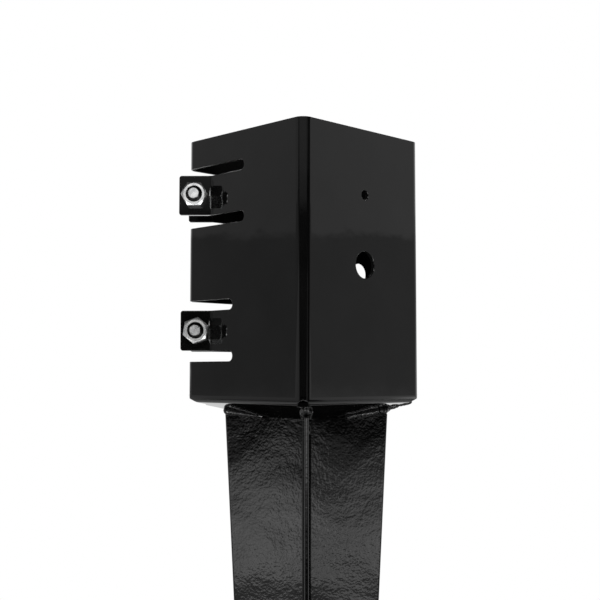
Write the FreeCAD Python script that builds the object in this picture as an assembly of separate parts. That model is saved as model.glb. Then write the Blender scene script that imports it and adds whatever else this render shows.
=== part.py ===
import FreeCAD, Part

import os
from math import cos, radians, sin, sqrt, tan

from FreeCAD import Vector

# Drive-in post anchor: a square socket folded from one steel sheet, closed by two clamp
# bolts at one corner, on a spike made of two folded angles that form a cross.
# All sizes are in millimetres. +Z is up. The origin is on the socket's axis, in the plane
# where the outer faces of the walls and of the bottom flaps meet.
# The clamp corner points to (-X, -Y); the bolts lie square to that diagonal.

# ---- sheet and socket ----
POST_SPACE = 91.0            # clear width inside the socket
SHEET = 2.5                  # steel sheet of socket and spike
SOCKET_HEIGHT = 150.0
CORNER_BEND = 3.5            # inside radius of the four upright folds
SEAM_FROM_CORNER = 10.0      # butt seam of the wrapped sheet, from the rear corner
SEAM_GAP = 0.8

# ---- bottom flaps ----
FLAP_SLOPE = 16.5            # degrees that a flap falls towards the axis
FLAP_BEND = 2.0              # inside radius of the fold from wall to flap
BOTTOM_OPENING = 32.0        # side of the square hole that the four flaps leave
FLAP_GAP = 0.6               # slit between neighbouring flaps
RELIEF_WIDTH = 6.8           # corner relief where two flaps and a corner fold meet
RELIEF_TOP = 1.8             # height of the relief's crown

# ---- clamp straps ----
# A slot's length is from the clamp corner. An ear's length is from the line where the outer
# faces of its wall and of the ear would meet to its free edge.
STRAP_HEIGHT = 22.6
SLOT_HEIGHT = 6.0
UPPER_STRAP_Z = 116.5
UPPER_SLOT_LENGTH = 50.0
UPPER_EAR_LENGTH = 18.0
LOWER_STRAP_Z = 39.7
LOWER_SLOT_LENGTH = 40.6
LOWER_EAR_LENGTH = 16.7
REAR_EAR_TRIM = 2.4          # the ears under the bolt heads are this much shorter
EAR_SPREAD = 31.0            # over the outer faces of a pair of ears
EAR_BEND = 2.8               # inside radius of the fold from strap to ear
EAR_CORNER = 1.5
EAR_HOLE_INSET = 9.0         # from an ear's free edge to its bolt hole

# ---- wall holes, in the two walls away from the clamp ----
ROD_HOLE_D = 15.0
ROD_HOLE_Z = 75.0
SCREW_HOLE_D = 5.5
SCREW_HOLE_Z = 113.5

# ---- M8 clamp bolts and nuts ----
BOLT_D = 8.0
BOLT_LENGTH = 40.0
BOLT_HOLE_CLEARANCE = 0.5    # on the radius, in the ears
NUT_BORE_CLEARANCE = 0.05    # on the radius
HEX_ACROSS_FLATS = 13.0
HEAD_HEIGHT = 5.3
WASHER_FACE_D = 11.6         # bearing face under the head
WASHER_FACE_HEIGHT = 0.4
NUT_HEIGHT = 6.5
HEX_CHAMFER = 0.7            # how far down the corners of a hexagon are turned off
TIP_CHAMFER = 1.0
LOWER_NUT_TURN = 20.0        # degrees, from flats level
UPPER_NUT_TURN = 0.0
HEAD_TURN = 30.0

# ---- spike ----
SPIKE_LENGTH = 600.0         # from the socket's bottom plane to the tip
FIN_REACH = 46.9             # from the spike's axis to a fin's edge, in the bottom plane
FIN_TAPER = 0.0512           # how much that falls per millimetre of depth
POINT_LENGTH = 70.0          # the last part, cut to a point
POINT_REACH = 1.6            # left of a fin at the very tip
SPIKE_FOLD = 1.8             # inside radius of the fold of each angle
SPIKE_OFFSET = 1.75          # the welded spike stands this far off the socket's axis
FOLD_GAP = 0.05              # between the backs of the two folds
OPENING_CLEARANCE = 0.3      # between the spike's head and the edges of the flaps

# ---- welds ----
WELD_LEG = 3.0               # of the fillets on the fins' faces
WELD_INNER_END = 26.0        # along a fin, from the socket's axis
WELD_OUTER_INSET = 1.5       # from the outer end of a bead to the fin's edge
SEAM_BEAD = 2.0              # radius of the bead on a sheet seam
GROOVE_BEAD = 2.6            # radius of the beads between the two angles
GROOVE_BEAD_LENGTH = 11.0
GROOVE_BEAD_TOP = -9.5       # top of the highest one
GROOVE_BEAD_PITCH = 150.0
GROOVE_BEAD_COUNT = 4

# ---- worked out ----
HALF = POST_SPACE / 2 + SHEET
CORNER_OUT = CORNER_BEND + SHEET
FLAP_OUT = FLAP_BEND + SHEET
SLOPE = tan(radians(FLAP_SLOPE))
BEND_TOP = FLAP_OUT * tan(radians((90 - FLAP_SLOPE) / 2))   # where the walls stop being flat
EAR_FACE = EAR_SPREAD / 2
EAR_ROOT = HALF * sqrt(2) - EAR_FACE    # along the diagonal, where an ear leaves its wall
FAR = 4 * HALF               # larger than anything at the socket
OPENING_HALF = BOTTOM_OPENING / 2
SPIKE_TOP = SHEET / cos(radians(FLAP_SLOPE)) - SLOPE * (HALF - OPENING_HALF)
FOLD_OUT = SPIKE_FOLD + SHEET
FOLD_BACK = FOLD_OUT * (1 - 1 / sqrt(2)) - FOLD_GAP / 2     # of each angle's back past the axis

UP = Vector(0, 0, 1)
ALONG = Vector(1, 1, 0).normalize()       # away from the clamp corner
ACROSS = Vector(1, -1, 0).normalize()     # along the clamp bolts, from head to nut


def place(along, across, z):
    """A point given along the two diagonals of the socket and up."""
    return ALONG * along + ACROSS * across + UP * z


def block(x0, y0, z0, x1, y1, z1):
    return Part.makeBox(x1 - x0, y1 - y0, z1 - z0, Vector(x0, y0, z0))


def extruded(edges_or_points, reach):
    """A closed outline, from points or from edges, pushed along a vector."""
    if isinstance(edges_or_points[0], Vector):
        wire = Part.makePolygon(edges_or_points + [edges_or_points[0]])
    else:
        wire = Part.Wire(edges_or_points)
    return Part.Face(wire).extrude(reach)


def line(a, b):
    return Part.LineSegment(a, b).toShape()


def arc(a, middle, b):
    return Part.Arc(a, middle, b).toShape()


def quarter_turns(shape):
    """The shape and its three copies about the socket's axis."""
    copies = []
    for turn in range(4):
        copy = shape.copy()
        copy.rotate(Vector(0, 0, 0), UP, 90 * turn)
        copies.append(copy)
    return copies


def rounded_square(half, radius, z0, z1):
    bar = block(-half, -half, z0, half, half, z1)
    uprights = [edge for edge in bar.Edges if abs(edge.tangentAt(edge.FirstParameter).z) > 0.9]
    return bar.makeFillet(radius, uprights)


# ---------------------------------------------------------------- socket

def side_section(normal):
    """Outline of one wall, its fold and its flap, in the upright plane through the axis."""
    slope = radians(FLAP_SLOPE)

    def at(n, z):
        return normal * n + UP * z

    def on_bend(radius, angle):
        return at(HALF - FLAP_OUT + radius * cos(angle), BEND_TOP - radius * sin(angle))

    turn = radians(90) - slope
    flap_run = (HALF - FLAP_OUT + FLAP_OUT * sin(slope) - OPENING_HALF + SHEET) / cos(slope)
    inward = normal * -cos(slope) - UP * sin(slope)
    outer_end = on_bend(FLAP_OUT, turn)
    inner_end = on_bend(FLAP_BEND, turn)
    return [
        line(at(HALF, SOCKET_HEIGHT), at(HALF, BEND_TOP)),
        arc(at(HALF, BEND_TOP), on_bend(FLAP_OUT, turn / 2), outer_end),
        line(outer_end, outer_end + inward * flap_run),
        line(outer_end + inward * flap_run, inner_end + inward * flap_run),
        line(inner_end + inward * flap_run, inner_end),
        arc(inner_end, on_bend(FLAP_BEND, turn / 2), at(HALF - SHEET, BEND_TOP)),
        line(at(HALF - SHEET, BEND_TOP), at(HALF - SHEET, SOCKET_HEIGHT)),
        line(at(HALF - SHEET, SOCKET_HEIGHT), at(HALF, SOCKET_HEIGHT)),
    ]


def socket_side():
    """The wall that faces +X with its flap, mitred at both ends."""
    side = extruded(side_section(Vector(1, 0, 0)), Vector(0, 2 * HALF, 0))
    side.translate(Vector(0, -HALF, 0))
    mitre = extruded([Vector(0, 0, -FAR), Vector(FAR, -FAR, -FAR), Vector(FAR, FAR, -FAR)],
                     UP * 2 * FAR)
    return side.common(mitre)


def folded_box():
    """Four walls and flaps with rounded upright folds, before any cut."""
    sides = quarter_turns(socket_side())
    box = sides[0].fuse(sides[1:])
    box = box.common(rounded_square(HALF, CORNER_OUT, -FAR, SOCKET_HEIGHT))
    flat = HALF - CORNER_OUT
    corner = block(flat, flat, BEND_TOP, HALF, HALF, SOCKET_HEIGHT)
    corner = corner.common(rounded_square(HALF, CORNER_OUT, -FAR, FAR))
    corner = corner.cut(rounded_square(HALF - SHEET, CORNER_BEND, -FAR, FAR))
    return box.fuse(quarter_turns(corner)).removeSplitter()


def bottom_cuts():
    """The square hole, the slits between flaps and the corner reliefs."""
    hole = block(-OPENING_HALF, -OPENING_HALF, -FAR, OPENING_HALF, OPENING_HALF, BEND_TOP)
    radius = RELIEF_WIDTH / 2
    start = (HALF - CORNER_OUT) * sqrt(2) - radius
    crown = RELIEF_TOP - radius
    relief = Part.makeCylinder(radius, HALF, place(start, 0, crown), ALONG)
    throat = extruded([place(start, -radius, -FAR), place(start + HALF, -radius, -FAR),
                       place(start + HALF, radius, -FAR), place(start, radius, -FAR)],
                      UP * (FAR + crown))
    slit = extruded([place(0, -FLAP_GAP / 2, -FAR), place(start + radius, -FLAP_GAP / 2, -FAR),
                     place(start + radius, FLAP_GAP / 2, -FAR), place(0, FLAP_GAP / 2, -FAR)],
                    UP * (FAR + crown))
    return [hole] + quarter_turns(relief.fuse([throat, slit]))


def ear_outline():
    """Plan of the ear on the wall that faces -Y, from the strap's end to the free edge."""
    lead = EAR_BEND * tan(radians(22.5))
    root_x = EAR_FACE * sqrt(2) - HALF + lead
    centre = Vector(root_x, -HALF - EAR_BEND, 0)

    def on_bend(radius, angle):
        return centre + Vector(cos(radians(angle)), sin(radians(angle)), 0) * radius

    def outline(reach):
        thick = EAR_BEND + SHEET
        free_out = place(-reach, EAR_FACE, 0)
        free_in = place(-reach, EAR_FACE - SHEET, 0)
        return [
            arc(on_bend(EAR_BEND, 90), on_bend(EAR_BEND, 112.5), on_bend(EAR_BEND, 135)),
            line(on_bend(EAR_BEND, 135), free_out),
            line(free_out, free_in),
            line(free_in, on_bend(thick, 135)),
            arc(on_bend(thick, 135), on_bend(thick, 112.5), on_bend(thick, 90)),
            line(on_bend(thick, 90), on_bend(EAR_BEND, 90)),
        ]

    return root_x, outline


def mirrored(shape):
    """The same shape on the other side of the clamp corner's diagonal."""
    return shape.mirror(Vector(0, 0, 0), ACROSS)


def strap_cuts(middle, slot_length):
    """The corner window and the four slots that free one pair of straps."""
    root_x = ear_outline()[0]
    tall = STRAP_HEIGHT / 2 + SLOT_HEIGHT
    edge = -FAR
    cuts = [block(edge, edge, middle - tall, root_x, root_x, middle + tall)]
    end_radius = SLOT_HEIGHT / 2
    end_x = slot_length - HALF - end_radius
    for side in (-1, 1):
        level = middle + side * (STRAP_HEIGHT + SLOT_HEIGHT) / 2
        slot = block(edge, edge, level - end_radius, end_x, CORNER_OUT - HALF, level + end_radius)
        nose = Part.makeCylinder(end_radius, FAR, Vector(end_x, CORNER_OUT - HALF, level),
                                 Vector(0, -1, 0))
        slot = slot.fuse(nose)
        cuts += [slot, mirrored(slot)]
    return cuts


def ear(middle, reach):
    outline = ear_outline()[1](reach)
    plate = extruded(outline, UP * STRAP_HEIGHT)
    plate.translate(UP * (middle - STRAP_HEIGHT / 2))
    free = [edge for edge in plate.Edges
            if abs(edge.tangentAt(edge.FirstParameter).dot(ACROSS)) > 0.99
            and edge.CenterOfMass.dot(ALONG) < -reach + SHEET]
    return plate.makeFillet(EAR_CORNER, free)


def bolt_axis(middle, reach, across):
    return place(EAR_HOLE_INSET - reach, across, middle)


def ear_hole(middle, reach):
    radius = BOLT_D / 2 + BOLT_HOLE_CLEARANCE
    return Part.makeCylinder(radius, 2 * EAR_SPREAD, bolt_axis(middle, reach, -EAR_SPREAD), ACROSS)


def wall_holes():
    """A rod hole and a screw hole in the walls that face +X and +Y."""
    holes = []
    for way in (Vector(1, 0, 0), Vector(0, 1, 0)):
        holes.append(Part.makeCylinder(ROD_HOLE_D / 2, FAR, UP * ROD_HOLE_Z, way))
        holes.append(Part.makeCylinder(SCREW_HOLE_D / 2, FAR, UP * SCREW_HOLE_Z, way))
    return holes


def seam_middle():
    """Where the wrapped sheet's two ends meet, on the wall that faces -X."""
    return HALF - SEAM_FROM_CORNER


def socket():
    shell = folded_box()
    cuts = bottom_cuts() + wall_holes()
    ears = []
    for middle, slot_length, reach in straps():
        cuts += strap_cuts(middle, slot_length)
        ears += [ear(middle, reach), mirrored(ear(middle, reach - REAR_EAR_TRIM))]
    seam = seam_middle()
    cuts.append(block(-FAR, seam - SEAM_GAP / 2, BEND_TOP, SHEET - HALF + 1, seam + SEAM_GAP / 2,
                      FAR))
    shell = shell.cut(cuts)
    shell = shell.fuse(ears).removeSplitter()
    return shell.cut([ear_hole(middle, reach) for middle, _, reach in straps()])


def straps():
    """Middle height, slot length and the reach of the ears from the socket's axis."""
    return [(UPPER_STRAP_Z, UPPER_SLOT_LENGTH, EAR_ROOT + UPPER_EAR_LENGTH),
            (LOWER_STRAP_Z, LOWER_SLOT_LENGTH, EAR_ROOT + LOWER_EAR_LENGTH)]


# ---------------------------------------------------------------- spike

def above_flaps():
    """All the space over the flaps' lower faces."""
    low = -SLOPE * HALF
    rise = FAR - HALF
    section = [Vector(-FAR, 0, SLOPE * rise), Vector(0, 0, low), Vector(FAR, 0, SLOPE * rise),
               Vector(FAR, 0, FAR), Vector(-FAR, 0, FAR)]
    trough = extruded(section, Vector(0, 2 * FAR, 0))
    trough.translate(Vector(0, -FAR, 0))
    crossing = trough.copy()
    crossing.rotate(Vector(0, 0, 0), UP, 90)
    return trough.common(crossing)


def flap_height(point):
    """Height of the flaps' lower face at a point in plan."""
    return -SLOPE * (HALF - max(abs(point.x), abs(point.y)))


def fin_reach(z):
    return FIN_REACH + FIN_TAPER * z


def taper(direction, other):
    """Silhouette of the spike along one diagonal, pushed through along the other."""
    neck = POINT_LENGTH - SPIKE_LENGTH
    outline = [(fin_reach(0), 0), (fin_reach(neck), neck), (POINT_REACH, -SPIKE_LENGTH)]
    right = [direction * reach + UP * z for reach, z in outline]
    left = [direction * -reach + UP * z for reach, z in reversed(outline)]
    body = extruded(right + left, other * 2 * FAR)
    body.translate(other * -FAR)
    return body


def angle_plan(leg_one, leg_two):
    """Plan of one folded angle. Its two legs run along leg_one and leg_two from the axis."""
    back = (leg_one + leg_two) * -FOLD_BACK
    bend_centre = back + (leg_one + leg_two) * FOLD_OUT
    bisector = (leg_one + leg_two).normalize() * -1

    def leg_end(leg, other, depth):
        return back + leg * FAR + other * depth

    def bend_start(other, radius):
        return bend_centre - other * radius

    points = {}
    for name, radius, depth in (("out", FOLD_OUT, 0), ("in", SPIKE_FOLD, SHEET)):
        points[name] = (leg_end(leg_one, leg_two, depth), bend_start(leg_two, radius),
                        bend_centre + bisector * radius,
                        bend_start(leg_one, radius), leg_end(leg_two, leg_one, depth))
    out, inn = points["out"], points["in"]
    return [line(out[0], out[1]), arc(out[1], out[2], out[3]), line(out[3], out[4]),
            line(out[4], inn[4]), line(inn[4], inn[3]), arc(inn[3], inn[2], inn[1]),
            line(inn[1], inn[0]), line(inn[0], out[0])]


def spike_angle(leg_one, leg_two):
    bar = extruded(angle_plan(leg_one, leg_two), UP * (SPIKE_LENGTH + SPIKE_TOP))
    bar.translate(UP * -SPIKE_LENGTH)
    head = taper(ALONG, ACROSS).common(taper(ACROSS, ALONG))
    bar = bar.common(head)
    bar.translate(ALONG * SPIKE_OFFSET)
    throat = OPENING_HALF - OPENING_CLEARANCE
    neck = block(-throat, -throat, -FAR, throat, throat, FAR)
    return bar.cut(above_flaps().cut(neck))


# ---------------------------------------------------------------- welds

def bead(start, end, radius):
    """A round bar with domed ends, to be trimmed by the metal that it joins."""
    run = end - start
    bar = Part.makeCylinder(radius, run.Length, start, run)
    return bar.fuse([Part.makeSphere(radius, start), Part.makeSphere(radius, end)])


def fillet(fin, face):
    """A three-cornered bead in the angle between one face of a fin and the flaps."""
    side = Vector(-fin.y, fin.x, 0) * face
    foot = fin * WELD_INNER_END + side * SHEET / 2 + ALONG * SPIKE_OFFSET
    foot += UP * flap_height(foot)
    over = 2 * SHEET
    section = [foot - UP * WELD_LEG, foot + side * (WELD_LEG + over) + UP * over,
               foot + UP * over]
    run = fin_reach(0) - WELD_OUTER_INSET - WELD_INNER_END
    return extruded(section, fin * run + UP * run * SLOPE / sqrt(2))


def fin_weld(fin, metal, closed_to=0):
    """Beads on both faces of the fin that runs along one half diagonal, under the flaps.
    With closed_to, one more bead closes the slit from the fin's edge out to that distance."""
    trimmed = [fillet(fin, face).cut([above_flaps()] + metal) for face in (-1, 1)]
    if closed_to:
        start = fin * (fin_reach(0) + ALONG.dot(fin) * SPIKE_OFFSET + SEAM_BEAD + 0.4)
        end = fin * (closed_to - SEAM_BEAD)
        closing = bead(start + UP * flap_height(start), end + UP * flap_height(end), SEAM_BEAD)
        trimmed.append(closing.cut([above_flaps()] + metal + trimmed))
    return Part.makeCompound([solid for one in trimmed for solid in one.Solids])


def groove_welds(metal):
    """Short upright beads in the two open grooves between the backs of the angles."""
    beads = []
    for side in (1, -1):
        spot = (ALONG + ACROSS) * side * SHEET / 2 + ALONG * SPIKE_OFFSET
        for number in range(GROOVE_BEAD_COUNT):
            top = GROOVE_BEAD_TOP - GROOVE_BEAD - number * GROOVE_BEAD_PITCH
            foot = top - GROOVE_BEAD_LENGTH + 2 * GROOVE_BEAD
            one = bead(spot + UP * foot, spot + UP * top, GROOVE_BEAD)
            beads.append(one.cut(metal + [above_flaps()]))
    return Part.makeCompound([solid for one in beads for solid in one.Solids])


def seam_weld(shell):
    """The outside bead on the butt seam of the wrapped sheet."""
    seam = seam_middle()
    inset = SEAM_BEAD + 2
    low = Vector(-HALF, seam, BEND_TOP + inset)
    high = Vector(-HALF, seam, SOCKET_HEIGHT - inset)
    inside = block(-HALF, -FAR, -FAR, FAR, FAR, FAR)
    return bead(low, high, SEAM_BEAD).cut([inside, shell])


# ---------------------------------------------------------------- fasteners

def hexagon(height, turn, chamfer_low):
    """A hexagonal prism on +Z with its corners turned off, at the top and maybe below."""
    corner = HEX_ACROSS_FLATS / 2 / cos(radians(30))
    points = []
    for number in range(6):
        angle = radians(60 * number + turn)
        points.append(Vector(corner * cos(angle), corner * sin(angle), 0))
    prism = extruded(points, UP * height)
    flat = HEX_ACROSS_FLATS / 2
    spread = corner - flat
    steep = spread / HEX_CHAMFER
    top_cone = Part.makeCone(corner + steep * (height - HEX_CHAMFER), flat, height)
    prism = prism.common(top_cone)
    if chamfer_low:
        low_cone = Part.makeCone(flat, corner + steep * (height - HEX_CHAMFER), height)
        prism = prism.common(low_cone)
    return prism


def stood_on_bolt_axis(shape, middle, reach, across):
    """Lay a shape made on +Z along the bolt's axis, its foot at a distance across.
    The shape's +X then points away from the clamp corner, along the diagonal."""
    turned = shape.copy()
    turn = FreeCAD.Rotation(ALONG, UP.negative(), ACROSS, "ZXY")
    turned.Placement = FreeCAD.Placement(bolt_axis(middle, reach, across), turn)
    return turned


def bolt(middle, reach, turn):
    head = hexagon(HEAD_HEIGHT - WASHER_FACE_HEIGHT, turn, False)
    head.translate(UP * WASHER_FACE_HEIGHT)
    head = head.fuse(Part.makeCylinder(WASHER_FACE_D / 2, WASHER_FACE_HEIGHT))
    head.rotate(Vector(0, 0, 0), Vector(1, 0, 0), 180)
    shank = Part.makeCylinder(BOLT_D / 2, BOLT_LENGTH)
    rim = [edge for edge in shank.Edges if abs(edge.CenterOfMass.z - BOLT_LENGTH) < 0.01]
    shank = shank.makeChamfer(TIP_CHAMFER, rim)
    return stood_on_bolt_axis(head.fuse(shank).removeSplitter(), middle, reach, -EAR_FACE)


def nut(middle, reach, turn):
    body = hexagon(NUT_HEIGHT, turn, True)
    body = body.cut(Part.makeCylinder(BOLT_D / 2 + NUT_BORE_CLEARANCE, NUT_HEIGHT))
    return stood_on_bolt_axis(body, middle, reach, EAR_FACE)


# ---------------------------------------------------------------- all pieces

def pieces():
    shell = socket()
    relief_start = (HALF - CORNER_OUT) * sqrt(2) - RELIEF_WIDTH / 2
    fold_outside = HALF * sqrt(2) - CORNER_OUT * (sqrt(2) - 1)
    front = spike_angle(ALONG.negative(), ACROSS)
    rear = spike_angle(ALONG, ACROSS.negative())
    metal = [shell, front, rear]
    parts = {
        "socket": shell,
        "spike_angle_front": front,
        "spike_angle_rear": rear,
        "weld_clamp_side_fin": fin_weld(ALONG.negative(), metal),
        "weld_plain_side_fin": fin_weld(ALONG, metal, fold_outside),
        "weld_front_fin": fin_weld(ACROSS, metal),
        "weld_rear_fin": fin_weld(ACROSS.negative(), metal, relief_start),
        "groove_welds": groove_welds([front, rear]),
        "seam_weld": seam_weld(shell),
    }
    turns = {"upper": UPPER_NUT_TURN, "lower": LOWER_NUT_TURN}
    for name, (middle, _, reach) in zip(("upper", "lower"), straps()):
        parts[name + "_bolt"] = bolt(middle, reach, HEAD_TURN)
        parts[name + "_nut"] = nut(middle, reach, turns[name])
    return parts


os.makedirs("parts", exist_ok=True)
for name, shape in pieces().items():
    if not shape.isValid() or not shape.Solids:
        raise RuntimeError(name + " is not a valid solid")
    shape.exportStep("parts/" + name + ".step")
    print(name, len(shape.Solids), "solid(s), %.0f mm3" % shape.Volume)
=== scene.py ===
from math import atan2, cos, pi, radians, sin, sqrt, tan
from random import Random

import bmesh
import bpy
from mathutils import Matrix, Vector


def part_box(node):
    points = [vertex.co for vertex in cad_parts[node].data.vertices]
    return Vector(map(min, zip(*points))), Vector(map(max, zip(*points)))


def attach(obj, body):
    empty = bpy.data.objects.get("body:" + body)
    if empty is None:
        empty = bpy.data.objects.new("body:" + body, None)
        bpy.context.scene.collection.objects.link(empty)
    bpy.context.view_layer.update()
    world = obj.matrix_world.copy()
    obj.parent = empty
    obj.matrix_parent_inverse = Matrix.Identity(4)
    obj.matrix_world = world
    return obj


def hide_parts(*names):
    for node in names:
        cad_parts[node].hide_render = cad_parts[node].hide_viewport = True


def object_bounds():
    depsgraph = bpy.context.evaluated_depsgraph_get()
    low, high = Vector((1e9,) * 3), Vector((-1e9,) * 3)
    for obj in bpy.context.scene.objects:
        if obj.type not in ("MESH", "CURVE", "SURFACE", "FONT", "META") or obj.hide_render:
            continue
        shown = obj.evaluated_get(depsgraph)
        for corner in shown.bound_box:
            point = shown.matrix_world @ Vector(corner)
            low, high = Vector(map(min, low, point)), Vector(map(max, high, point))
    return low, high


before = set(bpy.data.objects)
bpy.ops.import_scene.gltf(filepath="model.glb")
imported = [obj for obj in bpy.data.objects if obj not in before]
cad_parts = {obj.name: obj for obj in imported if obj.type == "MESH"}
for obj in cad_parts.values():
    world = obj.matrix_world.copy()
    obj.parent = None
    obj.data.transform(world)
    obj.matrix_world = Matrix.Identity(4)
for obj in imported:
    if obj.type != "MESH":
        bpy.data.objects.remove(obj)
cad_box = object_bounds()

# ---- camera -----------------------------------------------------------------------------
# A long lens at the height of the socket's foot, square to the fold between its two front
# walls and tilted up a little, so that the spike runs out of the bottom of the view.
camera_distance = 0.6082
camera_height = 0.01647
camera_azimuth = 45.0
camera_aim = 45.174
camera_tilt_up = 3.91

azimuth = radians(camera_azimuth)
lens = bpy.data.cameras.new("camera")
lens.sensor_width = 36.0
lens.lens = 63.246
lens.clip_start = 0.01
lens.clip_end = 50.0
camera = bpy.data.objects.new("camera", lens)
bpy.context.scene.collection.objects.link(camera)
camera.location = (camera_distance * sin(azimuth), -camera_distance * cos(azimuth), camera_height)
aim = radians(camera_aim)
tilt = radians(camera_tilt_up)
look = Vector((-sin(aim) * cos(tilt), cos(aim) * cos(tilt), sin(tilt)))
camera.rotation_mode = "QUATERNION"
camera.rotation_quaternion = look.to_track_quat("-Z", "Y")
bpy.context.scene.camera = camera
bpy.context.scene.view_settings.view_transform = "Standard"

# ---- floor ------------------------------------------------------------------------------
# A plain round studio floor of pale matt board, just under the spike's tip.
floor_radius = 0.9
floor_drop = 0.002


def noise(tree, scale, detail):
    """Noise through the whole solid, with 'scale' cells to the metre, from 0 to 1."""
    spot = tree.nodes.new("ShaderNodeTexCoord")
    made = tree.nodes.new("ShaderNodeTexNoise")
    made.inputs["Scale"].default_value = scale
    made.inputs["Detail"].default_value = detail
    tree.links.new(spot.outputs["Object"], made.inputs["Vector"])
    return made.outputs["Fac"]


def greys(tree, lead, stops):
    """A ramp of greys from (place, grey) stops, read off at the place that lead gives."""
    made = tree.nodes.new("ShaderNodeValToRGB")
    elements = made.color_ramp.elements
    elements[0].position, first = stops[0]
    elements[0].color = (first, first, first, 1)
    elements[1].position, last = stops[-1]
    elements[1].color = (last, last, last, 1)
    for place, grey in stops[1:-1]:
        elements.new(place).color = (grey, grey, grey, 1)
    tree.links.new(lead, made.inputs["Fac"])
    return made.outputs["Color"]


board = bpy.data.materials.new("pale_board")
board.use_nodes = True
tree = board.node_tree
shader = tree.nodes["Principled BSDF"]
shader.inputs["Roughness"].default_value = 0.8
grain = greys(tree, noise(tree, 40.0, 2.0), [(0.0, 0.84), (1.0, 0.87)])
tree.links.new(grain, shader.inputs["Base Color"])

shape = bmesh.new()
bmesh.ops.create_circle(shape, cap_ends=True, radius=floor_radius, segments=96)
bmesh.ops.translate(shape, verts=shape.verts, vec=(0, 0, cad_box[0].z - floor_drop))
mesh = bpy.data.meshes.new("floor")
shape.to_mesh(mesh)
shape.free()
mesh.materials.append(board)
floor = bpy.data.objects.new("floor", mesh)
bpy.context.scene.collection.objects.link(floor)

# ---- studio light -----------------------------------------------------------------------
# White walls behind the object, grey ones at both sides and a dark room on the camera's side, with
# a row of leaning panels just below the lens and a bright floor in front. Past the object the
# camera sees plain white.
room = bpy.data.worlds.new("studio")
bpy.context.scene.world = room
room.use_nodes = True
tree = room.node_tree
tree.nodes.clear()


def maths(tree, kind, *values):
    """One step of arithmetic on numbers and on other nodes' outputs."""
    made = tree.nodes.new("ShaderNodeMath")
    made.operation = kind
    for entry, value in zip(made.inputs, values):
        if isinstance(value, (int, float)):
            entry.default_value = value
        else:
            tree.links.new(value, entry)
    return made.outputs[0]


def at_turn(angle):
    """Place on a ramp for degrees to the right of the camera's side."""
    return 0.5 + angle / 360


def at_height(angle):
    """Place on a ramp for degrees above the horizon."""
    return 0.5 + sin(radians(angle)) / 2


way = tree.nodes.new("ShaderNodeTexCoord")
split = tree.nodes.new("ShaderNodeSeparateXYZ")
tree.links.new(way.outputs["Generated"], split.inputs[0])
x, y, z = split.outputs
towards = maths(tree, "MULTIPLY", maths(tree, "SUBTRACT", x, y), sqrt(0.5))
rightwards = maths(tree, "MULTIPLY", maths(tree, "ADD", x, y), sqrt(0.5))
bearing = maths(tree, "DIVIDE", maths(tree, "ARCTAN2", rightwards, towards), 2 * pi)
turn = maths(tree, "ADD", bearing, 0.5)
height = maths(tree, "ADD", maths(tree, "MULTIPLY", z, 0.5), 0.5)

panel_width = 0.14
panel_shift = 0.002
panel_lean = 0.29
shifted = maths(tree, "ADD", rightwards, panel_shift)
along_panel = maths(tree, "FLOORED_MODULO", shifted, panel_width)
slanted = maths(tree, "SUBTRACT", height, maths(tree, "MULTIPLY", along_panel, panel_lean))

walls = greys(tree, turn, [
    (at_turn(-128), 1.3), (at_turn(-105), 0.36), (at_turn(-58), 0.36), (at_turn(-50), 0.0),
    (at_turn(72), 0.0), (at_turn(76), 0.50), (at_turn(105), 0.50), (at_turn(128), 1.3)])
bands = greys(tree, height, [
    (at_height(-30), 0.3), (at_height(-24), 1.0), (at_height(-3), 1.2), (at_height(-0.8), 0.62),
    (at_height(7.3), 0.62), (at_height(7.5), 1.0), (at_height(24), 1.0), (at_height(32), 0.1)])
lean = greys(tree, slanted, [
    (at_height(-14), 2.3), (at_height(-9.4), 1.3), (at_height(-7.4), 0.35), (at_height(-3), 0.2)])
span = greys(tree, height, [
    (at_height(-16), 0.0), (at_height(-14.6), 0.16), (at_height(-11.4), 0.22),
    (at_height(-10.9), 1.0), (at_height(-3.4), 1.0), (at_height(-2.8), 0.0)])
floor_and_canopy = greys(tree, height, [
    (at_height(-60), 2.0), (at_height(-40), 9.0), (at_height(-30), 9.0), (at_height(-25), 0.0),
    (at_height(8.3), 0.0), (at_height(9.3), 0.18), (at_height(12), 0.3), (at_height(24), 0.3),
    (at_height(30), 0.0)])
front = greys(tree, turn, [
    (at_turn(-60), 0.0), (at_turn(-30), 1.0), (at_turn(30), 1.0), (at_turn(60), 0.0)])

in_front = maths(tree, "ADD", maths(tree, "MULTIPLY", lean, span), floor_and_canopy)
around = maths(tree, "MULTIPLY", walls, bands)
glow = maths(tree, "ADD", around, maths(tree, "MULTIPLY", in_front, front))
lit = tree.nodes.new("ShaderNodeBackground")
tree.links.new(glow, lit.inputs["Color"])
plain = tree.nodes.new("ShaderNodeBackground")
plain.inputs["Color"].default_value = (1, 1, 1, 1)
choice = tree.nodes.new("ShaderNodeMixShader")
seen = tree.nodes.new("ShaderNodeLightPath")
tree.links.new(seen.outputs["Is Camera Ray"], choice.inputs["Fac"])
tree.links.new(lit.outputs[0], choice.inputs[1])
tree.links.new(plain.outputs[0], choice.inputs[2])
out = tree.nodes.new("ShaderNodeOutputWorld")
tree.links.new(choice.outputs[0], out.inputs["Surface"])


def softbox(name, place, width, tall, watts):
    """A soft panel that faces the middle of the socket."""
    lamp = bpy.data.lights.new(name, "AREA")
    lamp.shape = "RECTANGLE"
    lamp.size = width
    lamp.size_y = tall
    lamp.energy = watts
    stand = bpy.data.objects.new(name, lamp)
    bpy.context.scene.collection.objects.link(stand)
    stand.location = place
    stand.rotation_mode = "QUATERNION"
    stand.rotation_quaternion = (-stand.location).to_track_quat("-Z", "Y")


softbox("front_softbox", (1.05, -1.05, 0.95), 0.7, 0.35, 14.0)
softbox("rear_softbox", (-1.2, 1.2, 1.3), 1.6, 0.8, 14.0)

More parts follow.
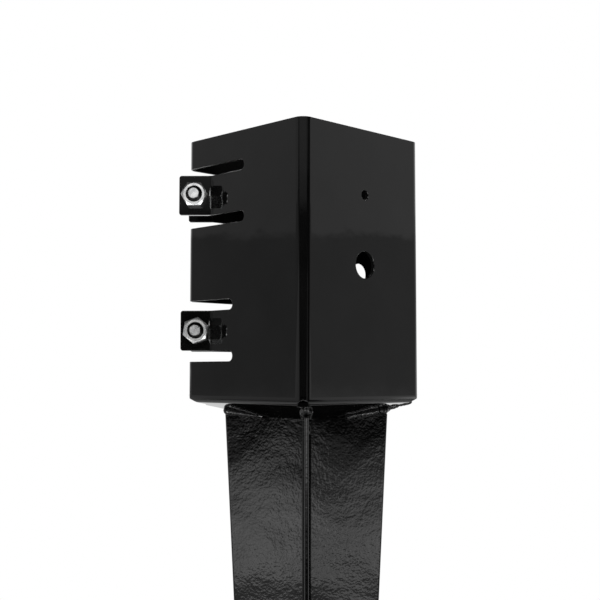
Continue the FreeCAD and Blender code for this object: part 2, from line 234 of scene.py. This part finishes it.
# ---- socket -----------------------------------------------------------------------------
# One sheet of 2.5 mm steel, folded round a square, with flaps turned in under it and two pairs
# of straps bent out at the clamp corner. It is coated in smooth gloss black, which rounds off
# every cut edge.
wall_face = 0.048
walls_foot = 0.02
socket_edge = 0.0003
rounded_above = 35
flat_within = 0.5
merge = 1e-6


def softened(node, name, radius, finish):
    """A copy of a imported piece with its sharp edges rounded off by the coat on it."""
    form = bmesh.new()
    form.from_mesh(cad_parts[node].data)
    bmesh.ops.remove_doubles(form, verts=form.verts, dist=merge)
    bmesh.ops.dissolve_limit(form, angle_limit=radians(flat_within), verts=form.verts,
                             edges=form.edges)
    edges = [edge for edge in form.edges if edge.calc_face_angle() > radians(rounded_above)]
    bmesh.ops.bevel(form, geom=edges, offset=radius, offset_type="OFFSET", segments=3,
                    profile=0.5, affect="EDGES", clamp_overlap=False, material=-1)
    for face in form.faces:
        face.smooth = True
    mesh = bpy.data.meshes.new(name)
    form.to_mesh(mesh)
    form.free()
    mesh.materials.append(finish)
    piece = bpy.data.objects.new(name, mesh)
    bpy.context.scene.collection.objects.link(piece)
    shading = piece.modifiers.new("shading", "WEIGHTED_NORMAL")
    shading.weight = 100
    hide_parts(node)
    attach(piece, "anchor")
    return piece


def mapped(tree, value, reach, goal):
    """A value moved evenly from its own reach to the goal, both given as (first, last)."""
    made = tree.nodes.new("ShaderNodeMapRange")
    for name, number in zip(("From Min", "From Max", "To Min", "To Max"), reach + goal):
        made.inputs[name].default_value = number
    tree.links.new(value, made.inputs["Value"])
    return made.outputs["Result"]


def black_paint(name, grey, roughness, coats):
    """Gloss black paint. Each coat is the depth, size and detail of one kind of unevenness."""
    paint = bpy.data.materials.new(name)
    paint.use_nodes = True
    tree = paint.node_tree
    shader = tree.nodes["Principled BSDF"]
    below = None
    for depth, size, detail in coats:
        film = tree.nodes.new("ShaderNodeBump")
        film.inputs["Distance"].default_value = depth
        tree.links.new(noise(tree, 1 / size, detail), film.inputs["Height"])
        if below is not None:
            tree.links.new(below, film.inputs["Normal"])
        below = film.outputs["Normal"]
    tree.links.new(below, shader.inputs["Normal"])
    cloud = noise(tree, 35.0, 3.0)
    for entry, middle in (("Base Color", grey), ("Roughness", roughness)):
        drift = mapped(tree, cloud, (0.3, 0.7), (middle * 0.6, middle * 1.4))
        tree.links.new(drift, shader.inputs[entry])
    return paint


socket_paint = black_paint("gloss_coat", 0.0025, 0.03,
                           [(0.00022, 0.05, 2.0), (0.000012, 0.006, 1.0)])

# The coat hardly reaches the inside, which stays dull, but it covers the flaps below. A fold
# falls short of its walls' faces, so half of x and y together is measured there as well.
fold_shortfall = 0.0018
coat_ends = 0.0009
coat_full = 0.0003
flaps_top = 0.001
coat_shine = 0.5
dull_shine = 0.05
dull_roughness = 0.65

tree = socket_paint.node_tree
shader = tree.nodes["Principled BSDF"]
spot = tree.nodes.new("ShaderNodeTexCoord")
split = tree.nodes.new("ShaderNodeSeparateXYZ")
tree.links.new(spot.outputs["Object"], split.inputs[0])
x = maths(tree, "ABSOLUTE", split.outputs["X"])
y = maths(tree, "ABSOLUTE", split.outputs["Y"])
at_wall = maths(tree, "MAXIMUM", x, y)
at_fold = maths(tree, "MULTIPLY_ADD", maths(tree, "ADD", x, y), 0.5, fold_shortfall)
outmost = maths(tree, "MAXIMUM", at_wall, at_fold)
bare = mapped(tree, outmost, (wall_face - coat_ends, wall_face - coat_full),
              (dull_roughness, 0.0))
upper = maths(tree, "GREATER_THAN", split.outputs["Z"], flaps_top)
bare = maths(tree, "MULTIPLY", bare, upper)
coated = shader.inputs["Roughness"].links[0].from_socket
tree.links.new(maths(tree, "MAXIMUM", bare, coated), shader.inputs["Roughness"])
shine = mapped(tree, bare, (0.0, dull_roughness), (coat_shine, dull_shine))
tree.links.new(shine, shader.inputs["Specular IOR Level"])

# At the foot, where three folds meet, the rounded edges are held within the walls' faces.
socket = softened("socket", "coated_socket", socket_edge, socket_paint)
for vertex in socket.data.vertices:
    if vertex.co.z < walls_foot:
        vertex.co.x = max(-wall_face, min(wall_face, vertex.co.x))
        vertex.co.y = max(-wall_face, min(wall_face, vertex.co.y))

# ---- spike ------------------------------------------------------------------------------
# Two angles of the same sheet, folded at 90 degrees and set back to back, so that their legs
# make a cross of four tapering fins. Dipped in the same black, they carry a thick wrinkled film.
spike_edge = 0.0011
spike_paint = black_paint("dipped_coat", 0.003, 0.06,
                          [(0.0004, 0.03, 1.0), (0.00004, 0.0032, 1.0), (0.00003, 0.0012, 1.0)])
softened("spike_angle_front", "front_angle", spike_edge, spike_paint)
softened("spike_angle_rear", "rear_angle", spike_edge, spike_paint)

# ---- welds ------------------------------------------------------------------------------
# Beads laid by hand: fillets where each fin meets the flaps, tacks in the two grooves between
# the angles, and one long bead on the seam of the socket. The paint lies thick over them.
along = Vector((1, 1, 0)).normalized()
across = Vector((1, -1, 0)).normalized()
up = Vector((0, 0, 1))
flap_fall = tan(radians(16.5))
weld_coat = black_paint("weld_coat", 0.003, 0.05, [(0.0003, 0.0015, 1.0)])
hand = Random(11)

# The two fins along the diagonal of the clamp corner have a face at fin_face on either side of
# it. The front and the rear fin stand off the socket's axis, with faces at rib_near and rib_far.
fin_face = 0.00126
rib_near = 0.00048
rib_far = 0.00298


def under_flaps(u, w):
    """A point on the flaps' lower face, from distances along the two diagonals."""
    point = along * u + across * w
    point.z = -flap_fall * (wall_face - max(abs(point.x), abs(point.y)))
    return point


def lay(form, start, end, first, last, shake, spacing=0.35):
    """Overlapping ripples of weld metal from start to end, of a radius that changes evenly."""
    run = end - start
    count = max(2, int(run.length / (spacing * (first + last) / 2)))
    for number in range(count + 1):
        share = number / count
        radius = (first + (last - first) * share) * (1 + shake * hand.uniform(-0.35, 0.35))
        stray = Vector([hand.uniform(-1, 1) for _ in range(3)]) * shake * radius * 0.3
        place = Matrix.Translation(start + run * share + stray)
        bmesh.ops.create_icosphere(form, subdivisions=2, radius=radius, matrix=place)


def fillet(form, start, end, side, first, last, shake):
    """A bead in the angle between a fin and the flaps; first and last are its leg."""
    inset = 0.2
    near = start + (side - up) * first * inset
    far = end + (side - up) * last * inset
    lay(form, near, far, first * (1 - inset), last * (1 - inset), shake)


def melted(form, name, node, grain=0.0003):
    """Ripples run together into one skin."""
    ripples = bpy.data.meshes.new(name + "_ripples")
    form.to_mesh(ripples)
    form.free()
    pile = bpy.data.objects.new(name + "_ripples", ripples)
    bpy.context.scene.collection.objects.link(pile)
    melt = pile.modifiers.new("melt", "REMESH")
    melt.mode = "VOXEL"
    melt.voxel_size = grain
    skin = bpy.data.meshes.new_from_object(
        pile.evaluated_get(bpy.context.evaluated_depsgraph_get()))
    bpy.data.objects.remove(pile)
    form = bmesh.new()
    form.from_mesh(skin)
    for _ in range(2):
        bmesh.ops.smooth_vert(form, verts=form.verts, factor=0.5, use_axis_x=True,
                              use_axis_y=True, use_axis_z=True)
    for face in form.faces:
        face.smooth = True
    form.to_mesh(skin)
    form.free()
    skin.name = name
    skin.materials.clear()
    skin.materials.append(weld_coat)
    piece = bpy.data.objects.new(name, skin)
    bpy.context.scene.collection.objects.link(piece)
    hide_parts(node)
    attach(piece, "anchor")


# under the clamp corner
form = bmesh.new()
for face, side in ((fin_face, across), (-fin_face, -across)):
    fillet(form, under_flaps(-0.0265, face), under_flaps(-0.0432, face), side,
           first=0.0009, last=0.0033, shake=0.12)
melted(form, "clamp_side_weld", "weld_clamp_side_fin")

# under the corner opposite the clamp, and on past the fin along the slit between two flaps
form = bmesh.new()
for face, side in ((fin_face, across), (-fin_face, -across)):
    fillet(form, under_flaps(0.0245, face), under_flaps(0.0466, face), side,
           first=0.0017, last=0.0027, shake=0.5)
lay(form, under_flaps(0.0475, 0) + up * 0.0006, under_flaps(0.0612, 0) + up * 0.0012,
    first=0.0022, last=0.0019, shake=0.6, spacing=0.5)
melted(form, "plain_side_weld", "weld_plain_side_fin")

# under the front corner, round the fin's edge and on to the corner's relief
rib_start = 0.026
rib_end = 0.0452
rib_edge = 0.0462
edge_drop = up * 0.0006
form = bmesh.new()
for face, side in ((rib_near, -along), (rib_far, along)):
    fillet(form, under_flaps(face, rib_start), under_flaps(face, rib_end), side,
           first=0.0016, last=0.0024, shake=0.35)
lay(form, under_flaps(rib_near, rib_edge) - edge_drop, under_flaps(rib_far, rib_edge) - edge_drop,
    first=0.0012, last=0.0012, shake=0.5)
lay(form, under_flaps(0.0012, rib_edge), under_flaps(0.0010, 0.052),
    first=0.0019, last=0.0016, shake=0.4)
melted(form, "front_weld", "weld_front_fin")

# under the rear corner
form = bmesh.new()
for face, side in ((rib_near, -along), (rib_far, along)):
    fillet(form, under_flaps(face, -rib_start), under_flaps(face, -rib_end), side,
           first=0.0016, last=0.0024, shake=0.35)
lay(form, under_flaps(0, -0.0475), under_flaps(0, -0.054), first=0.0019, last=0.0017, shake=0.4)
melted(form, "rear_weld", "weld_rear_fin")

# in the two grooves between the backs of the angles
groove_places = ((0.0030, 0.00125), (0.0005, -0.00125))
tacks_in_groove = 4
tack_top = -0.0121
tack_length = 0.0058
tack_distance = 0.15
form = bmesh.new()
for u, w in groove_places:
    for number in range(tacks_in_groove):
        high = along * u + across * w + up * (tack_top - tack_distance * number)
        lay(form, high - up * tack_length, high, first=0.0021, last=0.0023, shake=0.4)
melted(form, "groove_tacks", "groove_welds")

# on the seam of the wrapped sheet, in the wall that faces -X
seam_x = -wall_face + 0.0007
seam_y = 0.038
seam_foot = 0.0074
seam_head = 0.146
form = bmesh.new()
lay(form, Vector((seam_x, seam_y, seam_foot)), Vector((seam_x, seam_y, seam_head)),
    first=0.0019, last=0.0019, shake=0.12, spacing=0.5)
melted(form, "seam_bead", "seam_weld", grain=0.0004)

# ---- bolts and nuts ---------------------------------------------------------------------
# Two M8 x 40 set screws, threaded up to the head, each with a plain hexagon nut. They are cold
# headed and rolled from steel and plated with bright zinc.
ear_face = 0.0155
shank_length = 0.040
pitch = 0.00125
crest = 0.00396
root = 0.00335
thread_profile = ((0.0, root), (0.25, root), (0.5625, crest), (0.6875, crest))
tip_radius = 0.0028
tip_rim = 0.0002
flat = 0.0065
hex_corner = flat / cos(pi / 6)
face_radius = 0.0059
chamfer = 0.00095
head_height = 0.0053
head_turn = 30
washer_radius = 0.0058
washer_height = 0.0004
nut_height = 0.0065
sink = 0.0006
bore_radius = crest + 0.00002
mouth_radius = crest + sink
lip_radius = crest + 1.2 * sink
# Painted shade in a nut's bore reaches out to dark_radius.
dark_radius = crest + 1.1 * sink

# Bright zinc, a little cloudy. The attribute "groove" is 1 on the thread and in the nut's bore,
# where shade is painted in as near black, and 0 on the open faces.
zinc = bpy.data.materials.new("zinc_plate")
zinc.use_nodes = True
tree = zinc.node_tree
plate = tree.nodes["Principled BSDF"]
plate.inputs["Metallic"].default_value = 1.0
cloud = noise(tree, 260.0, 1.0)
colour = tree.nodes.new("ShaderNodeValToRGB")
colour.color_ramp.elements[0].position = 0.35
colour.color_ramp.elements[0].color = (0.78, 0.79, 0.80, 1)
colour.color_ramp.elements[1].position = 0.65
colour.color_ramp.elements[1].color = (0.90, 0.90, 0.89, 1)
tree.links.new(cloud, colour.inputs["Fac"])
groove = tree.nodes.new("ShaderNodeAttribute")
groove.attribute_name = "groove"
# Painted shade: where "groove" is 1, the zinc colour is mixed to near black.
painted_shade = tree.nodes.new("ShaderNodeMix")
painted_shade.data_type = "RGBA"
painted_shade.inputs["B"].default_value = (0.02, 0.02, 0.02, 1)
tree.links.new(groove.outputs["Fac"], painted_shade.inputs["Factor"])
tree.links.new(colour.outputs["Color"], painted_shade.inputs["A"])
tree.links.new(painted_shade.outputs["Result"], plate.inputs["Base Color"])
tree.links.new(mapped(tree, cloud, (0.0, 1.0), (0.22, 0.34)), plate.inputs["Roughness"])
dents = tree.nodes.new("ShaderNodeBump")
dents.inputs["Distance"].default_value = 0.00003
tree.links.new(cloud, dents.inputs["Height"])
tree.links.new(dents.outputs["Normal"], plate.inputs["Normal"])


def set_on_bolt(form, made, centre):
    """Turns a shape made on its own +Z to lie along the bolt, and adds it to the form."""
    lie = Matrix((along, up, across)).transposed().to_4x4()
    bmesh.ops.transform(made, matrix=Matrix.Translation(centre) @ lie, verts=made.verts)
    holder = bpy.data.meshes.new("holder")
    made.to_mesh(holder)
    made.free()
    form.from_mesh(holder)
    bpy.data.meshes.remove(holder)


def thread(form, centre):
    """The rolled thread of one set screw, from under its head to its chamfered end."""
    steps = 36
    made = bmesh.new()
    turns = int(shank_length / pitch) + 3
    chain = []
    for number in range(-1, turns):
        chain += [made.verts.new((radius, 0, (number + share) * pitch))
                  for share, radius in thread_profile]
    edges = [made.edges.new(pair) for pair in zip(chain, chain[1:])]
    bmesh.ops.spin(made, geom=chain + edges, cent=(0, 0, 0), axis=(0, 0, 1),
                   dvec=(0, 0, pitch / steps), angle=2 * pi, steps=steps, use_merge=False)
    bmesh.ops.remove_doubles(made, verts=made.verts, dist=merge)
    for level, way in ((0.0, -1), (shank_length, 1)):
        whole = made.verts[:] + made.edges[:] + made.faces[:]
        bmesh.ops.bisect_plane(made, geom=whole, plane_co=(0, 0, level), plane_no=(0, 0, way),
                               clear_outer=True)
    rims = [edge for edge in made.edges if edge.is_boundary]
    bmesh.ops.holes_fill(made, edges=rims)
    bmesh.ops.dissolve_degenerate(made, edges=made.edges, dist=merge)
    for vertex in made.verts:
        allowed = tip_radius + shank_length - vertex.co.z
        reach = vertex.co.xy.length
        if reach > allowed:
            vertex.co.x *= allowed / reach
            vertex.co.y *= allowed / reach
    # Painted shade: the whole thread outside the end's flat is marked here to be darkened.
    groove = made.verts.layers.float.new("groove")
    for vertex in made.verts:
        vertex[groove] = float(vertex.co.xy.length > tip_radius + tip_rim)
    bmesh.ops.recalc_face_normals(made, faces=made.faces)
    set_on_bolt(form, made, centre)


def turned_off(height, way):
    """The cone that takes off the corners, from the flat face out to the corners."""
    steps = 8
    return [(face_radius + (hex_corner - face_radius) * number / steps,
             height - way * chamfer * number / steps) for number in range(steps + 1)]


def hexagonal(form, profile, bored, centre, turned):
    """A turned blank with six flats on it. Profile points are radius and height; a bored one
    is a closed ring of them, any other runs from the axis back to the axis."""
    made = bmesh.new()
    groove = made.verts.layers.float.new("groove")
    chain = [made.verts.new((radius, 0, height)) for radius, height in profile]
    ends = chain[1:] + chain[:1] if bored else chain[1:]
    edges = [made.edges.new(pair) for pair in zip(chain, ends)]
    bmesh.ops.spin(made, geom=chain + edges, cent=(0, 0, 0), axis=(0, 0, 1), angle=2 * pi,
                   steps=96, use_merge=True)
    bmesh.ops.remove_doubles(made, verts=made.verts, dist=merge)
    for vertex in made.verts:
        reach = vertex.co.xy.length
        # Painted shade: a nut's bore and countersink, inside dark_radius, are marked to be
        # darkened.
        vertex[groove] = float(bored and reach < dark_radius)
        from_flat = atan2(vertex.co.y, vertex.co.x) % (pi / 3) - pi / 6
        allowed = flat / cos(from_flat)
        if reach > allowed:
            vertex.co.x *= allowed / reach
            vertex.co.y *= allowed / reach
    bmesh.ops.recalc_face_normals(made, faces=made.faces)
    bmesh.ops.rotate(made, verts=made.verts, matrix=Matrix.Rotation(radians(turned), 3, "Z"))
    set_on_bolt(form, made, centre)


def plated(form, name, node, body):
    """One finished, zinc plated fastener."""
    for face in form.faces:
        face.smooth = True
    mesh = bpy.data.meshes.new(name)
    form.to_mesh(mesh)
    form.free()
    mesh.materials.append(zinc)
    mesh.set_sharp_from_angle(angle=radians(25))
    piece = bpy.data.objects.new(name, mesh)
    bpy.context.scene.collection.objects.link(piece)
    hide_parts(node)
    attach(piece, body)


head_profile = [(0, 0), (washer_radius, 0), (washer_radius, -washer_height),
                (hex_corner, -washer_height)]
head_profile += turned_off(-head_height, -1)[::-1] + [(0, -head_height)]
bore = [(bore_radius, sink), (mouth_radius, 0.0), (lip_radius, 0.0)]
nut_profile = bore + turned_off(0.0, -1) + turned_off(nut_height, 1)[::-1]
nut_profile += [(radius, nut_height - depth) for radius, depth in reversed(bore)]

for level, nut_turn in (("upper", 0), ("lower", 20)):
    low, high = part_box(level + "_nut")
    middle = (low + high) / 2
    centre = along * middle.dot(along) + up * middle.z

    form = bmesh.new()
    hexagonal(form, head_profile, False, centre - across * ear_face, head_turn)
    thread(form, centre - across * ear_face)
    plated(form, level + "_set_screw", level + "_bolt", "bolt_" + level)

    form = bmesh.new()
    hexagonal(form, nut_profile, True, centre + across * ear_face, nut_turn)
    plated(form, level + "_hexagon_nut", level + "_nut", "nut_" + level)
